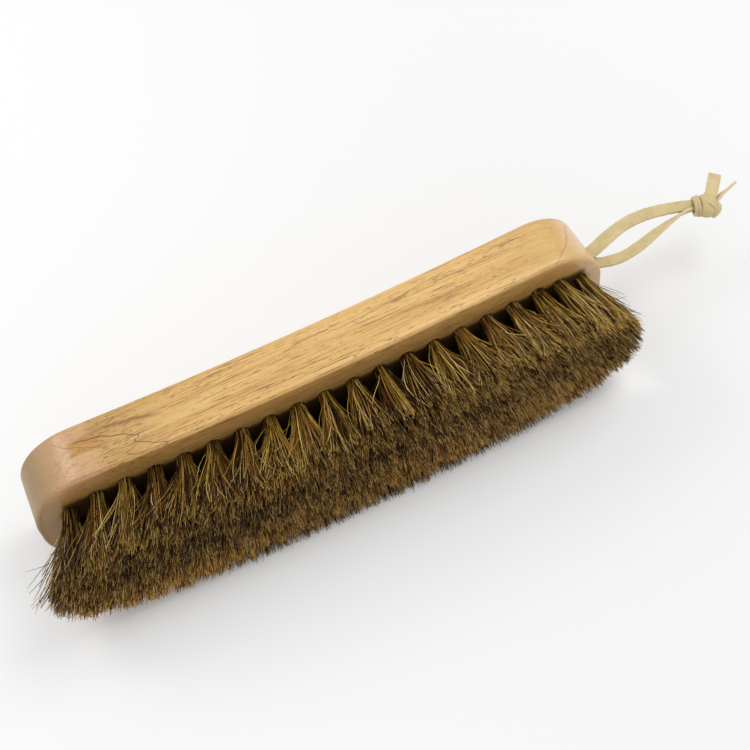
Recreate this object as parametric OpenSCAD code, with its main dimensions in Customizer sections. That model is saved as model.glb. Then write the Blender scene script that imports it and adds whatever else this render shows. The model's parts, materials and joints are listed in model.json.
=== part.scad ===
// Clothes brush: a bowed hardwood block with drilled bristle tufts and a leather hanging thong.
// The brush lies on its flat side face. The origin is the middle of that face, +Z is up,
// +X runs along the block to the thong, and the bristles point to -Y. Lengths are millimetres.

/* [Block] */
// Length of the block, without the thong
block_l = 200; // [190:1:215]
// Width of the block, which stands upright when the brush lies on its side
block_w = 46; // [45:0.5:52]
// Thickness of the block from its back to its bristle face
block_t = 19.5; // [19:0.5:26]
// Radius of the four corners of the block's outline
corner_r = 20; // [12:0.5:20.5]
// Radius of the rounding along every edge
edge_r = 1; // [0.5:0.5:4]
// Radius of the lengthwise bow of the bristle face
bow_r = 1900; // [1500:50:4000]

/* [Tufts] */
// Number of cross rows of tufts
cross_rows = 20; // [20:1:20]
// Distance between cross rows
row_pitch = 9.6; // [9.4:0.1:9.6]
// Distance between the last three cross rows, at the thong end
end_pitch = 8.3; // [8.3:0.1:9]
// Place of the first cross row along the block
first_row_x = -88.5; // [-89:0.1:-87.5]
// Distance of the outer tufts from the middle of the face
outer_offset = 12; // [11:0.1:13]
// Diameter of a tuft hole
hole_d = 5; // [4.5:0.1:5.2]
// Depth of a tuft hole
hole_depth = 7; // [6:0.1:7.2]
// Free length of the bristles, from the face to the trimmed tips
free_length = 26; // [20:1:35]
// Radius of a tuft at its trimmed tips
tip_r = 4; // [3:0.1:4.1]
// Lengthwise fan: how far the tips of an end row stand outward of its holes
tip_fan = 9; // [4:0.5:10]
// Set of all the tips towards the plain end
tip_set = 4; // [0:0.5:5]
// Sideways spread of the tips, as a share of a tuft's distance from the middle
side_spread = 0.5; // [0.3:0.05:0.55]

/* [Thong] */
// Width of the leather strip
strip_w = 4.4; // [3.5:0.1:4.6]
// Thickness of the leather strip
strip_t = 1.1; // [0.8:0.1:1.2]
// Diameter of the bore in the end of the block
bore_d = 6; // [6:0.1:6.4]
// Depth of that bore
bore_depth = 16; // [15:0.5:17]
// Diameter of the pin that holds the strip
pin_d = 1.2; // [1:0.1:1.4]
// Distance from the end of the block to the middle of the knot
loop_l = 48; // [40:1:60]

/* [Hidden] */

wood = "#c8964f";
hair = "#7d5c2b";
leather = "#d3bf8d";
steel = "#b9bcc0";

mid_z = block_w / 2;
half_t = block_t / 2;
bow_y = bow_r - half_t;
// Half the bowed stretch: the bow swings the bristle-side edge of an end outward a little
straight_half = (block_l / 2 - corner_r) * (1 - half_t / bow_y);
bow_half_angle = straight_half / bow_y * 180 / PI;
end_x = block_l / 2;
bow_fn = 2880;
// The end caps are this much thinner on every side, so that their seams with the bow are clean
seam = 0.02;
cap_t = block_t - 2 * seam;
cap_r = corner_r - seam;
cap_root = 1;
round_fn = 48;

// Tufts: the neck is the ball at the mouth of the hole that a tuft bends about
hole_share = 0.6;
neck_r = 2.3;
neck_start = 2.95;
root_r = 2.35;
root_recess = 0.7;
root_lift = 0.1;
anchor_gap = 0.03;
hole_overcut = 3;
trim_margin = 1;
anchor_l = 5.8;
anchor_w = 2;
anchor_t = 0.4;
anchor_lift = 1;
end_row_offset = 7.6;
second_row_offset = 11;

// Thong: the bore runs along X, the strip lies flat, and the two strands are stacked along Z
bore_y = 3.2;
bore_overcut = 2;
bore_bottom_x = end_x - bore_depth;
bight_clearance = 0.7;
bight_proud = 0.6;
pin_gap = 0.05;
pin_x = bore_bottom_x + pin_d / 2 + strip_t + bight_clearance;
pin_length = 15;
pin_tip_y = 8;
strand_gap = 0.1;
lift_x = end_x + 1.5;
root_x0 = lift_x + 0.9;
root_x1 = end_x + 5;
strand_x0 = end_x + 7.6;
knot_x = end_x + loop_l;
knot_y = 3;
upper_z = mid_z + strand_gap / 2;
lower_z = mid_z - strand_gap / 2 - strip_t;

// Control points of the cubic curves that the strip follows, seen from above
root_handle = 1;
root_steps = 4;
strand_steps = 24;
root_upper_y = [4, 4.2, 4.8, 5.1];
root_lower_y = [2.2, 1.4, 0.2, -0.3];
upper_start = [strand_x0, 5.9];
upper_rise = [13, 4.7];
upper_crest = [knot_x - 15, 11];
upper_end = [knot_x - 5, knot_y + 2];
lower_start = [strand_x0, -0.7];
lower_rise = [12, -1];
lower_crest = [knot_x - 16, 4];
lower_end = [knot_x - 5, knot_y + 1];

// Knot: x, y and radius of its lobes from its middle, the collar behind it, and the ends of the tails
knot_lobes = [[-2, 1.4, 2.9], [1.6, -0.6, 2.7], [0.8, 2, 2.5]];
lobe_fn = 32;
collar_back = 3.2;
collar_rise = 1.6;
collar_turn = -12;
collar_r = 2.6;
collar_t = 0.9;
broad_tail_ends = [[knot_x + 2, knot_y + 3.2], [knot_x + 9.2, knot_y + 9.6]];
thin_share = 1 / 3;
thin_tail_ends = [[knot_x + 4, knot_y + 0.6], [knot_x + 13.4, knot_y + 3.2]];

function row_name(k) = str("tuft_row_", k < 10 ? "0" : "", k);
function row_x(k) = first_row_x + row_pitch * min(k - 1, cross_rows - 3)
    + end_pitch * max(0, k - cross_rows + 2);
function face_y(x) = bow_y - sqrt(bow_r * bow_r - x * x);
function offsets(k) =
    k == 1 || k == cross_rows ? [-end_row_offset, 0, end_row_offset] :
    k == 2 || k == cross_rows - 1 ? [-1, -1 / 3, 1 / 3, 1] * second_row_offset :
    [-1, -1 / 3, 1 / 3, 1] * outer_offset;

// Where the tips of a tuft stand from the mouth of its hole: along the block, and sideways
function tip_dx(k) = tip_fan * row_x(k) / end_x - tip_set;
function tip_dz(offset) = side_spread * offset;
function tuft_length(k, offset) = norm([tip_dx(k), free_length, tip_dz(offset)]);
function lean_angle(k) = atan(tip_dx(k) / free_length);
function side_angle(k, offset) = atan(tip_dz(offset) / norm([tip_dx(k), free_length]));

// Curve of a strand where it leaves the bore, through its four heights across the block
function root_curve(y) = [
    [root_x0, y[0]], [root_x0 + root_handle, y[1]], [root_x1 - root_handle, y[2]], [root_x1, y[3]]];

// Unit vector square to the way from a to b
function side_way(a, b) = [a[1] - b[1], b[0] - a[0]] / norm(b - a);

// A point on a cubic curve through four control points, and its direction
function bezier(p, t) = pow(1 - t, 3) * p[0] + 3 * t * pow(1 - t, 2) * p[1]
    + 3 * t * t * (1 - t) * p[2] + pow(t, 3) * p[3];
function bezier_way(p, t) = let (d = pow(1 - t, 2) * (p[1] - p[0]) + 2 * t * (1 - t) * (p[2] - p[1])
    + t * t * (p[3] - p[2])) d / norm(d);

// Puts a tuft's own axis, which runs out of the block along its +Z, at its mouth in the face
module at_mouth(k, offset, share = 1)
    translate([row_x(k), face_y(row_x(k)), mid_z + offset])
        rotate([90 - share * side_angle(k, offset), 0, share * lean_angle(k)])
            children();

module each_tuft(share = 1)
    for (k = [1:cross_rows])
        for (offset = offsets(k))
            at_mouth(k, offset, share)
                children();

// Cross-section of the block, with a rounded corner at each outer edge
module rounded_rect(w, h, r) {
    translate([r, 0])
        square([w - 2 * r, h]);
    translate([0, r])
        square([w, h - 2 * r]);
    for (x = [r, w - r])
        for (y = [r, h - r])
            translate([x, y])
                circle(r = r, $fn = round_fn);
}

// The same section where it turns round an end: flat at x = 0, rounded at the rim
module rim_section() {
    translate([0, -cap_t / 2])
        square([cap_r - edge_r, cap_t]);
    translate([0, edge_r - cap_t / 2])
        square([cap_r, cap_t - 2 * edge_r]);
    for (y = [edge_r - cap_t / 2, cap_t / 2 - edge_r])
        translate([cap_r - edge_r, y])
            circle(r = edge_r, $fn = round_fn);
}

// Moves the middle of a flat section out to an end of the bowed stretch: side is 1 or -1
module at_bow_end(side)
    translate([0, bow_y, 0])
        rotate([0, 0, side * bow_half_angle])
            translate([0, -bow_y, 0])
                mirror([side < 0 ? 1 : 0, 0, 0])
                    children();

module bowed_stretch()
    translate([0, bow_y, 0])
        rotate([0, 0, -90 - bow_half_angle])
            rotate_extrude(angle = 2 * bow_half_angle, $fn = bow_fn)
                translate([bow_r - block_t, 0])
                    rounded_rect(block_t, block_w, edge_r);

module end_cap() {
    for (upper = [0, 1])
        translate([0, 0, upper ? block_w - corner_r : corner_r])
            rotate([90, 0, 0])
                rotate([0, 0, upper ? 0 : -90])
                    rotate_extrude(angle = 90, $fn = 4 * round_fn)
                        rim_section();
    translate([0, 0, corner_r])
        linear_extrude(block_w - 2 * corner_r)
            rim_section();
    translate([-cap_root, 0, seam])
        rotate([90, 0, 90])
            linear_extrude(cap_root)
                translate([-cap_t / 2, 0])
                    rounded_rect(cap_t, block_w - 2 * seam, edge_r);
}

module tuft_holes()
    each_tuft(hole_share)
        translate([0, 0, -hole_depth])
            cylinder(d = hole_d, h = hole_depth + hole_overcut, $fn = round_fn);

module thong_bore()
    translate([bore_bottom_x, bore_y, mid_z])
        rotate([0, 90, 0])
            cylinder(d = bore_d, h = bore_depth + bore_overcut, $fn = round_fn);

module pin_shape()
    translate([pin_x, pin_tip_y, mid_z])
        rotate([90, 0, 0])
            cylinder(d = pin_d, h = pin_length, $fn = round_fn);

module block()
    color(wood)
        difference() {
            union() {
                bowed_stretch();
                for (side = [-1, 1])
                    at_bow_end(side)
                        end_cap();
            }
            tuft_holes();
            thong_bore();
            pin_shape();
        }

// Flat wire staple that a folded tuft hangs on: it bites into the wood on both sides of the hole
module anchor(grow = 0)
    translate([-anchor_l / 2 - grow, -anchor_t / 2 - grow, -hole_depth + anchor_lift - grow])
        cube([anchor_l + 2 * grow, anchor_t + 2 * grow, anchor_w + 2 * grow]);

module tuft_anchors()
    color(steel)
        each_tuft(hole_share)
            anchor();

module tuft_roots()
    color(hair)
        each_tuft(hole_share)
            difference() {
                translate([0, 0, root_lift - hole_depth])
                    cylinder(r = root_r, h = hole_depth - root_lift - root_recess, $fn = round_fn);
                anchor(anchor_gap);
            }

// The free part of a tuft: a ball at the mouth, then a cone that is cut off at the trim
module free_tuft(k, offset)
    at_mouth(k, offset)
        union() {
            translate([0, 0, neck_start])
                sphere(r = neck_r, $fn = round_fn);
            translate([0, 0, neck_start])
                cylinder(r1 = neck_r, r2 = tip_r, h = tuft_length(k, offset), $fn = round_fn);
        }

// Everything on the block's side of the flat cut that trims a row, square to the bow at its tips
module trim_volume(k)
    translate([0, bow_y, 0])
        rotate([0, 0, asin((row_x(k) + tip_dx(k)) / bow_r)])
            translate([-block_t, -bow_r - free_length, -trim_margin])
                cube([2 * block_t, 2 * free_length, block_w + 2 * trim_margin]);

module tuft_row(k)
    color(hair)
        for (offset = offsets(k))
            intersection() {
                free_tuft(k, offset);
                trim_volume(k);
            }

module thong_pin()
    color(steel)
        pin_shape();

// The strip inside the bore: two legs joined by a bend round the pin
module thong_bight()
    color(leather)
        translate([0, bore_y + strip_w / 2, mid_z])
            rotate([90, 0, 0])
                linear_extrude(strip_w)
                    difference() {
                        union() {
                            translate([pin_x, 0])
                                circle(r = pin_d / 2 + strip_t, $fn = round_fn);
                            translate([pin_x, -pin_d / 2 - strip_t])
                                square([end_x + bight_proud - pin_x, pin_d + 2 * strip_t]);
                        }
                        translate([pin_x, 0])
                            circle(r = pin_d / 2 + pin_gap, $fn = round_fn);
                        translate([pin_x, -pin_d / 2])
                            square([block_t, pin_d]);
                    }

// A flat strip along a cubic curve, lying in the XY plane, with its lower face at height z
module ribbon(p, z, steps) {
    way = [for (i = [0:steps]) bezier_way(p, i / steps)];
    mid = [for (i = [0:steps]) bezier(p, i / steps)];
    left = [for (i = [0:steps]) mid[i] + [-way[i][1], way[i][0]] * strip_w / 2];
    right = [for (i = [steps:-1:0]) mid[i] - [-way[i][1], way[i][0]] * strip_w / 2];
    translate([0, 0, z])
        linear_extrude(strip_t)
            polygon(concat(left, right));
}

module thong_root()
    color(leather) {
        ribbon(root_curve(root_upper_y), upper_z, root_steps);
        ribbon(root_curve(root_lower_y), lower_z, root_steps);
    }

module thong_upper_strand()
    color(leather)
        ribbon([upper_start, upper_start + upper_rise, upper_crest, upper_end], upper_z, strand_steps);

module thong_lower_strand()
    color(leather)
        ribbon([lower_start, lower_start + lower_rise, lower_crest, lower_end], lower_z, strand_steps);

// Overhand knot, drawn tight: a rounded lump with a collar where the strands go in
module thong_knot()
    color(leather)
        union() {
            hull()
                for (lobe = knot_lobes)
                    translate([knot_x + lobe[0], knot_y + lobe[1], mid_z])
                        sphere(r = lobe[2], $fn = lobe_fn);
            translate([knot_x - collar_back, knot_y + collar_rise, mid_z])
                rotate([0, 90, collar_turn])
                    rotate_extrude($fn = round_fn)
                        translate([collar_r, 0])
                            circle(r = collar_t, $fn = round_fn);
        }

module tail(ends, width, z) {
    half = side_way(ends[0], ends[1]) * width / 2;
    translate([0, 0, z])
        linear_extrude(strip_t)
            polygon([ends[0] + half, ends[1] + half, ends[1] - half, ends[0] - half]);
}

module thong_broad_tail()
    color(leather)
        tail(broad_tail_ends, strip_w, upper_z);

module thong_thin_tail()
    color(leather)
        tail(thin_tail_ends, strip_w * thin_share, lower_z);

block();
tuft_anchors();
tuft_roots();
thong_pin();
thong_bight();
thong_root();
thong_upper_strand();
thong_lower_strand();
thong_knot();
thong_broad_tail();
thong_thin_tail();
for (k = [1:cross_rows])
    tuft_row(k);
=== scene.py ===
"""Looks of a clothes brush: varnished block, horsehair tufts and a knotted leather thong.

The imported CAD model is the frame. Lengths in the comments and constants are millimetres unless a
name says otherwise, and MM turns them into metres where a mesh is made.
"""

import json
import math
from types import SimpleNamespace

import bpy
import numpy as np
from mathutils import Matrix, Vector


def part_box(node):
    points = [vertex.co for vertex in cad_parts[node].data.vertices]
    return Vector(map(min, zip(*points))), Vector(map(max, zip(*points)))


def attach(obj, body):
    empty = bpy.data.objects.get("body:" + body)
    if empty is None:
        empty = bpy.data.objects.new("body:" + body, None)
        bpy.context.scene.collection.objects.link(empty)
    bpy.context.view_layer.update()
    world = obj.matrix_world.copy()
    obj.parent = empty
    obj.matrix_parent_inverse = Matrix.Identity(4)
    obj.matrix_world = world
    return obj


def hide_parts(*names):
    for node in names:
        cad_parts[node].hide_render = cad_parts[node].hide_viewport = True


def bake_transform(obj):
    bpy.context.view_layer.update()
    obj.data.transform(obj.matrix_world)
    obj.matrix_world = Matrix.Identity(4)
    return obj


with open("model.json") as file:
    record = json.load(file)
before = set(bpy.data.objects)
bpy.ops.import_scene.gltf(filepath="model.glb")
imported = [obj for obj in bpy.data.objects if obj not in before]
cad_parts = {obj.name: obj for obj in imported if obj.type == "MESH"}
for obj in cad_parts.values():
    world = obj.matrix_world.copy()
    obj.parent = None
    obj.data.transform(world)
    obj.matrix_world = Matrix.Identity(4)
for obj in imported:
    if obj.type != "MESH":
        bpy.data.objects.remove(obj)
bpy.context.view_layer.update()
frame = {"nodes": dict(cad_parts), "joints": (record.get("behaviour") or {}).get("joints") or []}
MM = 0.001

# Block, from the CAD model
BLOCK_LOW, BLOCK_HIGH = (np.array(corner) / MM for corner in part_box("block"))
BLOCK_W = BLOCK_HIGH[2] - BLOCK_LOW[2]
MID_Z = (BLOCK_LOW[2] + BLOCK_HIGH[2]) / 2
BLOCK_END = BLOCK_HIGH[0]

# Bow of the bristle face: a circle about a line far above the middle of the block
BOW_R = 1900.0
FACE_Y = -9.75
BOW_Y = FACE_Y + BOW_R

# Tufts: their places across the face, those that show from outside, and how their hair fans out
OFFSETS = (-12.0, -4.0, 4.0, 12.0)
SECOND_OFFSETS = (-11.0, -11.0 / 3, 11.0 / 3, 11.0)
END_OFFSETS = (-7.6, 0.0, 7.6)
OUTER_BEYOND = 7.0
FREE_LENGTH = 26.0
HOLE_DEPTH_SHOWN = 4.0
ROOT_R = 2.231
TIP_FAN = 9.0
TIP_SET = 4.0
HOLE_SHARE = 0.6
SIDE_SPREAD = 0.5

# Hairs of the tufts that show from outside, and of those behind them: how many, points in each,
# how much a lock gathers them, how far their tips turn, and their share of shades and shadow
OUTER = SimpleNamespace(
    strands=480, points=8, lock_pull=0.45, tip_turn=0.09, end_tint=0.05, black_share=0.12, depth=0.0
)
INNER = SimpleNamespace(
    strands=520, points=5, lock_pull=0.27, tip_turn=0.18, end_tint=0.10, black_share=0.06, depth=1.0
)

# Locks: a grid of them fills each tuft, in shares of the tuft's half width
HAIR_SEED = 4127
LOCK_GRID = 9
LOCK_MIX = 0.12
HAIR_SCATTER, LOCK_SCATTER = 0.05, 0.13
TIP_OVERLAP = 1.12
# How far a tuft's hairs reach at their tips, each way along the row of tufts and across it
TIP_SHARE_X, TIP_SHARE_Z = 6.0, 6.6
TIP_LOWEST, TIP_ABOVE, LINE_LOWEST = 0.35, 1.0, 0.2

# Trimming: the rounded outline of the face, how hairs near it are cut back, and how some splay
TIP_REACH_PLAIN, TIP_REACH_THONG, TIP_HALF_W, RIM_POWER = 105.0, 101.0, 22.7, 2.7
RIM_SEARCH_STEPS = 12
RIM_SCATTER, RIM_PULL = 0.05, 0.10
RIM_BAND = 0.18
TRIM_SD = 0.65
EDGE_TRIM = 4.5
SPLAY_NEAR, SPLAY_SHARE = 0.25, 0.13
SPLAY_STRETCH = (0.05, 0.45)
SPLAY_SHORTENING = (6, 20)

# Bends, as shares of a hair's length, and the hairs that bend far more than the rest
ROOT_TURN, LOCK_BEND, HAIR_BEND = 0.04, 0.035, 0.025
WILD_SHARE, WILD_BEND = 0.02, 4
ROOT_HANDLE, TIP_HANDLE = 0.30, 0.36

# Shades from 0, black, to 1, pale; the means go by the tuft's offset from the middle of the face, and paint
# in light and shade: outer tufts paler, inner ones darker
TINT_MEANS = (0.43, 0.32, 0.26, 0.41)
ROW_TINT_SD, LOCK_TINT_SD, HAIR_TINT_SD = 0.03, 0.13, 0.22
SPLAY_TINT = 0.12
TINT_LIMITS = (0.06, 0.9)
BLACK_TINTS, PALE_TINTS = (0, 0.12), (0.75, 1.0)
PALE_FROM, PALE_THINNER = 0.95, 0.6
HAIR_RADII = (0.09, 0.16)
STRAND_SIDES = 3
TIP_TAPER = 0.55
SIDE_REFERENCE = (0.31, 0.17, 0.93)


def row_places():
    """Place of each cross row along the block, read from the joints that let the rows bend."""
    rows = {}
    for joint in frame["joints"]:
        if joint["child"].startswith("bristle_row_"):
            rows[int(joint["child"][-2:])] = joint["pos_m"][0] / MM
    return rows


ROWS = row_places()


def face_y(x):
    return BOW_Y - np.sqrt(BOW_R**2 - np.square(x))


def tip_y(x, length):
    return BOW_Y - np.sqrt(np.square(BOW_R + length) - np.square(x))


# ---------------------------------------------------------------- node graphs


class Graph:
    """Builds one material's node tree, with short calls for the nodes that repeat."""

    def __init__(self, name):
        self.material = bpy.data.materials.new(name)
        self.material.use_nodes = True
        self.tree = self.material.node_tree
        self.tree.nodes.clear()
        self.shader = self.tree.nodes.new("ShaderNodeBsdfPrincipled")
        output = self.tree.nodes.new("ShaderNodeOutputMaterial")
        self.tree.links.new(self.shader.outputs[0], output.inputs[0])

    def put(self, socket, value):
        if isinstance(value, bpy.types.NodeSocket):
            self.tree.links.new(value, socket)
        elif value is not None:
            socket.default_value = value

    def node(self, kind, values=(), **settings):
        made = self.tree.nodes.new(kind)
        for key, value in settings.items():
            setattr(made, key, value)
        for key, value in dict(values).items():
            self.put(made.inputs[key], value)
        return made

    def surface(self, **values):
        """Sets the shader's inputs and gives the finished material."""
        for key, value in values.items():
            self.put(self.shader.inputs[key.replace("_", " ")], value)
        return self.material

    def math(self, operation, a, b=None):
        made = self.node("ShaderNodeMath", operation=operation)
        for socket, value in zip(made.inputs, (a, b)):
            self.put(socket, value)
        return made.outputs[0]

    def add(self, a, b):
        return self.math("ADD", a, b)

    def minus(self, a, b):
        return self.math("SUBTRACT", a, b)

    def times(self, first, *others):
        for other in others:
            first = self.math("MULTIPLY", first, other)
        return first

    def away(self, value, centre):
        """How far a value is from the centre, either way."""
        return self.math("ABSOLUTE", self.minus(value, centre))

    def place(self):
        """Place in the frame in millimetres, as separate x, y, z and as one vector."""
        coordinates = self.node("ShaderNodeTexCoord").outputs["Object"]
        scale = {0: coordinates, "Scale": 1 / MM}
        scaled = self.node("ShaderNodeVectorMath", scale, operation="SCALE").outputs[0]
        split = self.node("ShaderNodeSeparateXYZ", {0: scaled})
        return split.outputs[0], split.outputs[1], split.outputs[2], scaled

    def attribute(self, name):
        return self.node("ShaderNodeAttribute", attribute_name=name).outputs["Fac"]

    def grey(self, level):
        return self.node("ShaderNodeCombineXYZ", {0: level, 1: level, 2: level}).outputs[0]

    def noise(self, vector, scale=1.0, detail=2.0, roughness=0.5, distortion=0.0):
        """Noise on a vector. A scale of three numbers stretches it along x, y and z."""
        if isinstance(scale, tuple):
            stretch = {0: vector, 1: scale}
            vector = self.node("ShaderNodeVectorMath", stretch, operation="MULTIPLY").outputs[0]
            scale = 1.0
        values = {
            "Vector": vector,
            "Scale": scale,
            "Detail": detail,
            "Roughness": roughness,
            "Distortion": distortion,
        }
        return self.node("ShaderNodeTexNoise", values).outputs[0]

    def ramp(self, value, stops):
        made = self.node("ShaderNodeValToRGB", {0: value})
        ramp = made.color_ramp
        while len(ramp.elements) < len(stops):
            ramp.elements.new(0.5)
        for element, (position, colour) in zip(ramp.elements, stops):
            element.position = position
            element.color = (*linear(colour), 1.0)
        return made.outputs[0]

    def mix(self, factor, a, b, blend_type="MIX"):
        made = self.node("ShaderNodeMix", data_type="RGBA", blend_type=blend_type)
        self.put(made.inputs[0], factor)
        for socket, value in ((made.inputs[6], a), (made.inputs[7], b)):
            self.put(socket, (*linear(value), 1.0) if isinstance(value, str) else value)
        return made.outputs[2]

    def range(self, value, low, high, out_low=0.0, out_high=1.0, smooth=True):
        """Maps low to out_low and high to out_high, and holds those values outside."""
        made = self.node(
            "ShaderNodeMapRange",
            {0: value, 1: low, 2: high, 3: out_low, 4: out_high},
            interpolation_type="SMOOTHSTEP" if smooth else "LINEAR",
        )
        return made.outputs[0]

    def curve(self, value, points):
        """Height of a smooth line through (place, height) points."""
        xs, ys = [p[0] for p in points], [p[1] for p in points]
        x0, x1, y0, y1 = min(xs), max(xs), min(ys), max(ys)
        share = self.range(value, x0, x1, smooth=False)
        made = self.node("ShaderNodeFloatCurve", {"Value": share})
        line = made.mapping.curves[0]
        while len(line.points) < len(points):
            line.points.new(0.5, 0.5)
        for point, (x, y) in zip(line.points, sorted(points)):
            point.location = ((x - x0) / (x1 - x0), (y - y0) / (y1 - y0))
            point.handle_type = "AUTO"
        made.mapping.update()
        return self.range(made.outputs[0], 0.0, 1.0, y0, y1, smooth=False)

    def bump(self, height, distance, strength=1.0, normal=None):
        values = {"Height": height, "Distance": distance * MM, "Strength": strength}
        made = self.node("ShaderNodeBump", values)
        self.put(made.inputs["Normal"], normal)
        return made.outputs[0]


def linear(colour):
    """Linear red, green and blue of an sRGB colour such as "#c8964f"."""
    parts = [int(colour[i : i + 2], 16) / 255 for i in (1, 3, 5)]
    return [c / 12.92 if c <= 0.04045 else ((c + 0.055) / 1.055) ** 2.4 for c in parts]


# ---------------------------------------------------------------- wood


# A pair such as DASHES_FROM gives where a change starts and where it's full: along x or z, across the
# side, or in the value of a noise
WOOD_TONES = ((0.30, "#b38547"), (0.44, "#c49957"), (0.55, "#d0a967"), (0.72, "#dab777"))
BAND_SHARE, STREAK_SHARE = 0.62, 0.38
# Pores: stretch of their noise along x, y and z, its detail and limits, and how strong they are
BOLD_PORES = ((0.25, 2.5, 2.5), 1.0, (0.635, 0.68), 1.0)
DASH_PORES = ((0.5, 2.6, 2.6), 0.0, (0.64, 0.68), 1.0)
LONG_PORES = ((0.075, 2.3, 2.3), 1.0, (0.62, 0.665), 0.75)
FINE_PORES = ((0.4, 3.4, 3.4), 1.0, (0.64, 0.70), 0.5)
# Bold pores come in patches, with this share of them in between, and dashes towards the plain end
PORE_PATCHES, PATCH_LIMITS, PORES_BETWEEN = (0.03, 0.22, 0.22), (0.42, 0.62), 0.3
DASHES_FROM = (-48.0, -72.0)
# Fewer pores show at the ends: x, and what is left of them
THONG_PORES, THONG_PORES_LEFT = (76.0, 84.0), 0.35
PLAIN_PORES, PLAIN_PORES_LEFT = (-88.0, -96.0), 0.4
# Tones along the block: x where each starts, x where it's full, its strength and its colour
END_TONES = (
    (50.0, 90.0, 0.40, "#b4914e"),
    (-30.0, -104.0, 0.80, "#8a6826"),
    (-87.0, -99.0, 0.90, "#8a640e"),
)
PORE_COLOUR, PORE_STRENGTH = "#5a3215", 0.85
# Painted sheen, a window's reflection in the plain end's varnish, and the amber patch in it, about a line
# 1.3 above the middle
SHEEN_COLOUR, SHEEN_STRENGTH = "#cfa182", 0.42
SHEEN_RIGHT, SHEEN_LEFT, SHEEN_Z = (-70.0, -77.0), (-95.0, -87.0), (36.0, 44.0)
PATCH_COLOUR, PATCH_STRENGTH = "#b0752f", 0.45
PATCH_LEFT, PATCH_RIGHT, PATCH_MIDDLE, PATCH_EDGE = (-81.4, -80.4), (-66.0, -74.0), 1.3, (3.2, 1.9)
RAGGED_STRETCH, RAGGED_BY = (0.3, 1.4, 0.3), 5.0
PAST_ARC_COLOUR, PAST_ARC_STRENGTH, PAST_ARC = "#c2a06c", 0.4, (-0.4, 1.2)
# Painted shade of the bristle face, which faces away from the lights, and the line of its edge, by height
# across the side; painted shade between the tufts, deep in the hair, by distance from MID_Z
FACE_SHADE_COLOUR, FACE_SHADE_STRENGTH, FACE_BELOW, SIDE_ABOVE = "#b0702c", 0.22, (-8.9, -9.6), (-9.7, -9.2)
PAINTED_SHADE_COLOUR, PAINTED_SHADE_STRENGTH, SHADE_BAND, SHADE_PAST_ROWS = "#20140b", 0.88, (14.5, 11.5), 3.0
EDGE_COLOUR, EDGE_STRENGTH, EDGE_HEIGHT, EDGE_SOFT = "#7a3f22", 0.3, -9.0, (0.38, 0.1)
EDGE_Z = (BLOCK_W - 1.2, BLOCK_W - 0.2)
# Rounding of the edges in millimetres towards both ends, and how steeply the ends fall away past x
ROUND_X, ROUND_R = (62.0, 92.0), (0.5, 3.5)
PLAIN_FALL, THONG_FALL = (-80.0, -0.014), (84.0, -0.006)
# Varnish: its gloss and coat, which fade where the shade between the tufts is painted, and a thinner,
# rougher coat at the plain end
SHADE_DULLS = (0.0, 0.6)
GLOSS, SHADED_GLOSS, COAT = 0.5, 0.05, 0.3
END_COAT_X, END_COAT_LEFT = (-88.0, -98.0), 0.4
COAT_ROUGH_X, COAT_ROUGH = (-60.0, -78.0), (0.16, 0.3)

GROWTH_ARC = (
    (-11.5, 77.4), (-8.4, 83.4), (-6.2, 86.0), (-3.7, 88.8), (-0.6, 90.9), (2.9, 92.7), (7.5, 94.6),
)
# Grain features of the block, as (place along the block, height across its side) points. A steep
# line has its points as (height, place) instead. Width, strength and colour follow.
FIGURE_LINES = (
    # Wandering line of the plain end, with its hook, and the fainter lines below it
    (
        ((-86.0, 7.4), (-83.9, 5.1), (-81.9, 3.1), (-79.6, 2.0), (-76.8, 0.7), (-73.7, -0.6), (-69.5, -1.0)),
        False, 0.34, 0.60, "#7c4a35",
    ),
    (
        ((-79.5, 3.6), (-76.0, 3.0), (-71.2, 2.3), (-67.2, 0.5), (-64.9, 0.0), (-61.0, -2.2), (-59.6, -2.7)),
        False, 0.40, 0.85, "#6b3726",
    ),
    (
        ((-4.6, -61.6), (-3.9, -61.6), (-3.3, -60.3), (-2.6, -59.8), (-2.0, -60.4)),
        True, 0.38, 0.80, "#6b3726",
    ),
    (((-62.6, -4.2), (-60.3, -5.2), (-55.8, -7.7), (-51.5, -9.3)), False, 0.36, 0.75, "#6f3f2a"),
    (((-73.0, -3.6), (-67.7, -5.8), (-63.2, -8.3), (-59.5, -9.6)), False, 0.50, 0.35, "#8a5a38"),
    # Dark streaks near the back edge, the first a soft band with a thin line in it
    (
        ((-80.0, 2.6), (-77.6, 3.5), (-73.0, 4.5), (-69.0, 4.7), (-64.1, 4.0), (-57.4, 2.9), (-50.0, 1.2)),
        False, 1.30, 0.45, "#8c5c28",
    ),
    (((-70.0, 4.7), (-66.2, 4.3), (-64.1, 4.0), (-58.9, 3.3), (-53.0, 2.0)), False, 0.40, 0.70, "#74451f"),
    (((-34.0, 6.9), (-31.9, 6.9), (-26.8, 7.0), (-22.0, 7.3)), False, 0.30, 0.60, "#8a5a34"),
    (((-6.0, 4.9), (-3.8, 5.0), (2.0, 5.1), (8.0, 5.0)), False, 0.34, 0.70, "#6e4630"),
    (
        ((3.0, 4.0), (12.5, 3.8), (23.3, 4.3), (32.5, 4.9), (37.6, 5.6), (45.1, 6.1), (53.0, 6.8)),
        False, 0.30, 0.60, "#7f5230",
    ),
    (((41.9, 4.6), (50.2, 4.2), (58.5, 3.8), (66.0, 3.5), (73.0, 3.5)), False, 0.30, 0.60, "#7a4f36"),
    (((66.0, 7.2), (71.0, 6.3), (76.8, 5.5), (80.0, 5.3)), False, 0.34, 0.60, "#8a5c38"),
    (GROWTH_ARC, True, 0.32, 0.72, "#7d5634"),
)
LINE_WAVER, WAVER_STRETCH = 1.1, (0.55, 0.55, 0.2)
LINE_SOFT_CORE, LINE_FADE = 0.2, 0.12


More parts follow.
